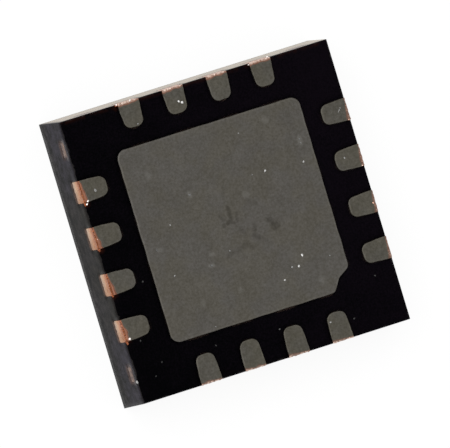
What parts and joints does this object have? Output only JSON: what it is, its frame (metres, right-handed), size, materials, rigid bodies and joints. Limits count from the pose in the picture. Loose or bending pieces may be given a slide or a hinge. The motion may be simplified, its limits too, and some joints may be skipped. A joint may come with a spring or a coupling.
{
  "type": "qfn chip package",
  "caption": "Square leadless chip package: black moulded body, tongue-shaped tinned lands along each edge, and a large exposed pad with one notched corner.",
  "frame": {"origin": "centre of the marking face, on which the part lies", "axes": "+Z out of the terminal face, up as pictured and opposite to its place on a board; +X and +Y along the sides, with the notched corner of the pad at +X -Y"},
  "size_m": [0.004, 0.004, 0.0009],
  "materials": {
    "compound": "black epoxy moulding compound, fine matte on its faces and greyer where it is sawn",
    "tinned_copper": "matte tin over copper on the lands, bare sawn copper at the side faces",
    "silicon": "polished dark grey",
    "die_epoxy": "silver-filled epoxy",
    "wire_gold": "drawn gold wire"
  },
  "bodies": {
    "root": {"mould_body": "compound", "die_paddle": "tinned_copper", "die_attach": "die_epoxy", "silicon_die": "silicon", "terminal_01": "tinned_copper", "terminal_02": "tinned_copper", "terminal_03": "tinned_copper", "terminal_04": "tinned_copper", "terminal_05": "tinned_copper", "terminal_06": "tinned_copper", "terminal_07": "tinned_copper", "terminal_08": "tinned_copper", "terminal_09": "tinned_copper", "terminal_10": "tinned_copper", "terminal_11": "tinned_copper", "terminal_12": "tinned_copper", "terminal_13": "tinned_copper", "terminal_14": "tinned_copper", "terminal_15": "tinned_copper", "terminal_16": "tinned_copper", "bond_wire_01": "wire_gold", "bond_wire_02": "wire_gold", "bond_wire_03": "wire_gold", "bond_wire_04": "wire_gold", "bond_wire_05": "wire_gold", "bond_wire_06": "wire_gold", "bond_wire_07": "wire_gold", "bond_wire_08": "wire_gold", "bond_wire_09": "wire_gold", "bond_wire_10": "wire_gold", "bond_wire_11": "wire_gold", "bond_wire_12": "wire_gold", "bond_wire_13": "wire_gold", "bond_wire_14": "wire_gold", "bond_wire_15": "wire_gold", "bond_wire_16": "wire_gold"}
  },
  "joints": []
}
